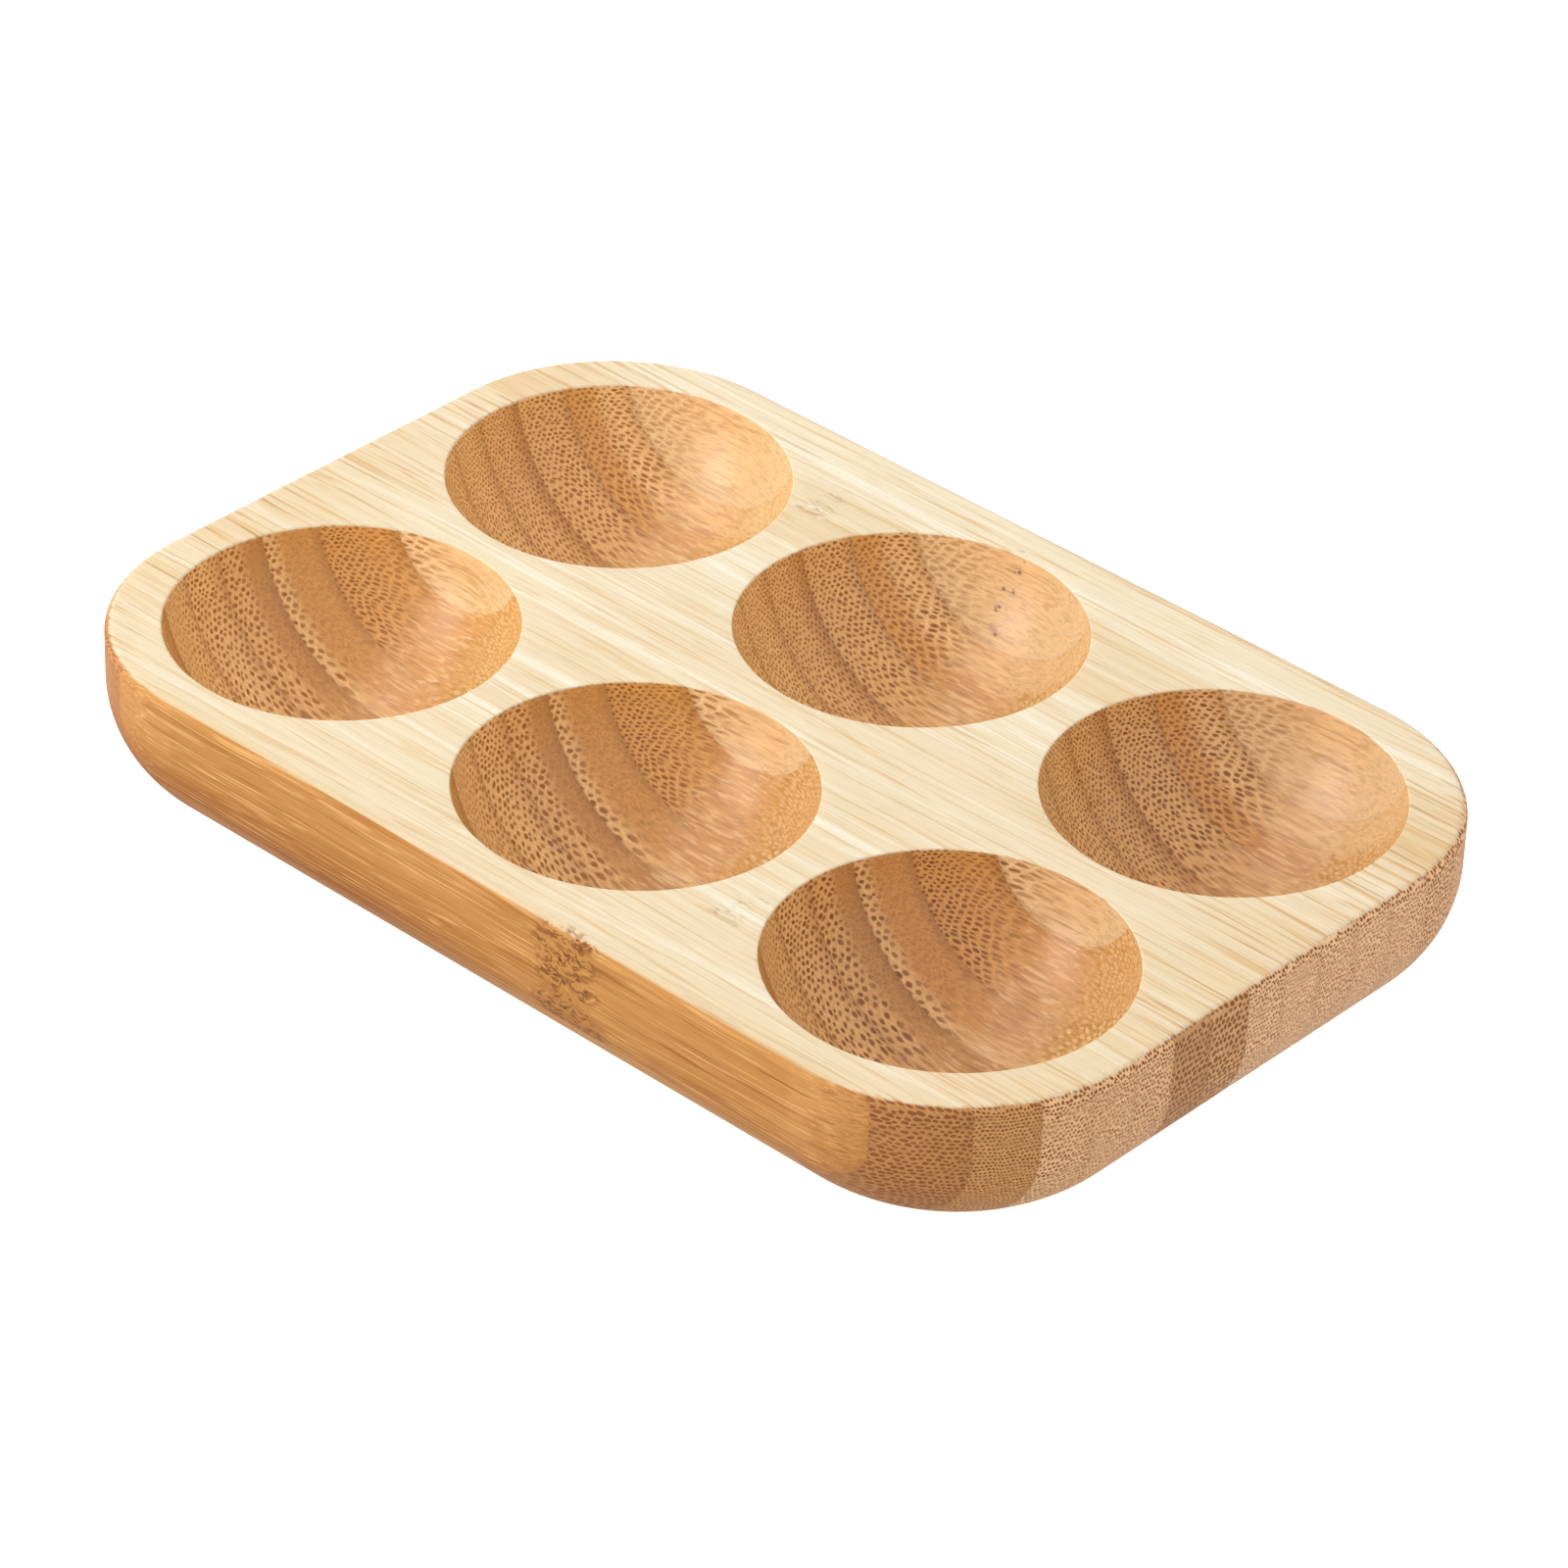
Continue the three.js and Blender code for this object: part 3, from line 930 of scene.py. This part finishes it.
# %% Long grain
DARK_STREAK, LIGHT_LINE = Mark(0.48, 0.3, 0.5), Mark(0.52, 0.72, 0.7)
DARK_DASH, LIGHT_DASH = Mark(0.44, 0.3, 0.3), Mark(0.53, 0.66, 0.7)
LIT_SIDE_DASHES = 0.6


def long_grain(ground, bundle, grains, face, force, quiet):
    """The colour of a face that runs along the fibres: the ground, with dark streaks, dark and light dashes
    inside the bowls, and light lines, each from its noise. The force is that of the streaks and lines, and
    quiet takes the lines back."""
    inside = face.along.most(LIT_SIDE_DASHES * face.lit_side) * (1.0 - face.outside)
    ground = (marks(grains.streak, DARK_STREAK) * face.along * force).tint(ground, bundle)
    ground = (marks(grains.dash, DARK_DASH) * inside).tint(ground, bundle)
    ground = (marks(grains.dash, LIGHT_DASH) * inside).tint(ground, PITH)
    return (marks(grains.line, LIGHT_LINE) * face.along * quiet * force).tint(ground, SKIN_LINE)


print("shares of dark streaks and light lines:", DARK_STREAK.share, "and", LIGHT_LINE.share)

# %% [markdown]
# ## The sanded top
# The top was sanded last and left pale, with cream bands, warm streaks and dark fibres, of which most lie
# near the ends. The pale layer ends in an uneven line below the top edge. It fades out softly along the long
# sides, and at the ends it stops at a row of dark open pores.

# %% Sanded top
END_FIBRES = (64.0, 88.0)
CREAM_BAND, WARM_STREAK, DARK_FIBRE = (0.48, 0.74), (0.52, 0.3), (0.45, 0.34)

# Shares in the middle of the tray and at its ends
WARM_SHARES, WARMTH, FIBRE_SHARES = (0.65, 1.0), (0.0, 0.28), (0.28, 0.93)

# Depths below the top where the pale layer starts and is full. A negative one lies above the top
RIM_START, RIM_FULL, RIM_UNEVEN = 0.35, 0.05, 0.3
SIDE_START, SIDE_FULL, SIDE_MARGIN, SIDE_SLOPE = 1.4, -0.5, 1.2, 0.35


def sanded_top(body, x, y, z, grains, tone):
    """The body's colour, or above an uneven line the top's: pale, lighter in bands, warmer in streaks, darker
    in fibres, and paler or warmer by the strip's tone. Also the share of the top's colour."""
    ends = abs(x).step(*END_FIBRES)
    cream = grains.band.step(*CREAM_BAND) + max(tone, 0.0)
    streaks = grains.streak.step(*WARM_STREAK) * ends.between(*WARM_SHARES)
    warm = streaks + ends.between(*WARMTH) + max(-tone, 0.0)
    fibres = ((grains.streak + grains.line) / 2).step(*DARK_FIBRE) * ends.between(*FIBRE_SHARES)
    pale = fibres.tint(warm.tint(cream.tint(TOP, TOP_LIGHT), TOP_WARM), TOP_DARK)
    uneven = grains.streak - NOISE_MIDDLE
    rim = (z + uneven * RIM_UNEVEN).step(HEIGHT - RIM_START, HEIGHT - RIM_FULL)
    inwards = HALF_WIDTH - SIDE_MARGIN - abs(y)
    long_side = (z + inwards * SIDE_SLOPE + uneven).step(HEIGHT - SIDE_START, HEIGHT - SIDE_FULL)
    share = rim.least(long_side)
    return share.tint(body, pale), share


print("more dark fibres from", END_FIBRES[0], "mm outwards")

# %% [markdown]
# ## Marks of a knuckle and the finish
# A knuckle's dark streaks and pits go over all the rest, more weakly on the sanded top. The finish is a thin
# oil: smoother in the bowls, dull on the sanded outside, and uneven along the fibres. A little bump lets the
# fibres and pores break up the sheen.

# %% Knuckle marks and finish
KNUCKLE_STREAK = (0.56, 0.36)

# Shares below the top and on it
STREAK_SHARES, PIT_SHARES = (1.0, 0.3), (0.9, 0.25)
BOWL_ROUGHNESS, OUTSIDE_ROUGHNESS = 0.28, 0.63
STREAK_SWING, DASH_SWING = 0.25, 0.2
DASH_RELIEF, PORE_RELIEF = 0.6, 0.5
BUMP = {"Strength": 0.6, "Distance": 0.05 * MM}


def knuckle_marks(colour, tangle, pits, streak, dark, top):
    """The colour with dark streaks in a knuckle's tangle, by how dark it is, and with its pits."""
    streaks = tangle * streak.step(*KNUCKLE_STREAK) * dark * top.between(*STREAK_SHARES)
    colour = streaks.tint(colour, GLUE)
    return (pits * top.between(*PIT_SHARES)).tint(colour, PIT)


def oil_finish(shader, grains, outside, pores):
    """Feeds a shader its roughness, from the bowls' to the outside's with a swing along the fibres, and its
    bump: fibres and dashes stand up, and pores go in."""
    swing = STREAK_SWING * (grains.streak - NOISE_MIDDLE) + DASH_SWING * (grains.dash - NOISE_MIDDLE)
    (outside.between(BOWL_ROUGHNESS, OUTSIDE_ROUGHNESS) + swing).feeds(shader, "Roughness")
    relief = grains.fibre + grains.dash * DASH_RELIEF - pores * PORE_RELIEF
    relief.node("ShaderNodeBump", {}, {"Height": relief, **BUMP}).feeds(shader, "Normal")


print("roughness in a bowl", BOWL_ROUGHNESS, "and outside", OUTSIDE_ROUGHNESS)

# %% [markdown]
# ## The bamboo
# One material for each strip puts these patterns together, so the same strip is dotted on one wall of a bowl
# and streaked on the next. Inside the bowls a painted shade darkens it slowly towards +X. The strips at the
# two long sides end in the gold skin of the culm, which is less glossy.

# %% Bamboo
SKIN_GROUND, SKIN_SPECULAR = "gold", 0.15
SKIN_FORCE, INNER_FORCE = 1.0, 0.5
KNUCKLE_LINES = 0.3


def bamboo(name, near, far, look, seed, knuckle):
    """A strip's material, from its borders, its look, a seed for its noise and its knuckle, if it has one."""
    material = bpy.data.materials.new(name)
    material.use_nodes = True
    shader = material.node_tree.nodes["Principled BSDF"]
    spot = Value(material.node_tree).node("ShaderNodeTexCoord", {}, {}, "Object")
    facing = spot.also("Normal").parts()[0]
    in_mm = spot.node("ShaderNodeVectorMath", {"operation": "SCALE"}, {0: spot, "Scale": 1 / MM})
    x, y, z = in_mm.parts()
    run_y, run_z = fibre_run(x, y, z, seed)
    quiet = 1.0
    if knuckle:
        run_y, run_z, tangle, pits = knuckle_run(run_y, run_z, x, y, z, knuckle)
        quiet = tangle.between(1.0, KNUCKLE_LINES)
    grains = stretched_noise(x, run_y, run_z)
    face = face_masks(facing, x, y, z)

    share = (y - near) / (far - near)
    ground, dots = strip_ground(share, grains.streak, end_patches(x, y, z), z, face, look)
    coarse, net, fine = strip_bundles(run_y, run_z, look, face)
    # Painted shade: 0 at the bowls at -X and 1 at those at +X, away from the lamps
    shade_towards_plus_x = x.step(-COLUMN_PITCH, COLUMN_PITCH)
    bundle = shade_towards_plus_x.tint(LIT_BUNDLE, SHADED_BUNDLE)
    body = end_grain(ground, bundle, coarse, net, fine, dots, face)
    force = SKIN_FORCE if look.near == SKIN_GROUND else INNER_FORCE
    body = long_grain(body, bundle, grains, face, force, quiet)
    body = body.dyed(shade_towards_plus_x.tint(LIT_TONE, SHADED_TONE), 1.0 - face.outside)
    colour, top = sanded_top(body, x, y, z, grains, look.top)
    if knuckle:
        colour = knuckle_marks(colour, tangle, pits, grains.streak, knuckle.dark, top)
    colour.dyed(grains.fibre.tint(FIBRE_DARK, FIBRE_LIGHT)).feeds(shader, "Base Color")
    oil_finish(shader, grains, face.outside.most(top), coarse * dots * face.dark)
    if SKIN_GROUND in (look.near, look.far):
        shader.inputs["Specular IOR Level"].default_value = SKIN_SPECULAR
    return material


skin_strips = [name for name, look in LOOKS.items() if SKIN_GROUND in (look.near, look.far)]
print("strips with skin:", skin_strips)

# %% [markdown]
# ## The strips
# Every strip is made between its two glue lines, takes the place of its packed solid and rides on the tray's
# one body.

# %% Strips
SEED_STEP = 7.3
faces = nodes = 0
for place, node in enumerate(strips):
    near, far = borders[place], borders[place + 1]
    mesh = strip_mesh("shaped_" + node, near + GLUE_GAP, far - GLUE_GAP)
    material = bamboo("bamboo_" + node, near, far, LOOKS[node], SEED_STEP * place, KNUCKLES.get(node))
    mesh.materials.append(material)
    piece = bpy.data.objects.new("shaped_" + node, mesh)
    scene.collection.objects.link(piece)
    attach(piece, "root")
    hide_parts(node)
    faces += len(mesh.polygons)
    nodes += len(material.node_tree.nodes)
print("strips:", len(strips), "faces:", faces, "shader nodes:", nodes)

# %% [markdown]
# ## Size
# The dressed tray must stay inside the packed solids' box.
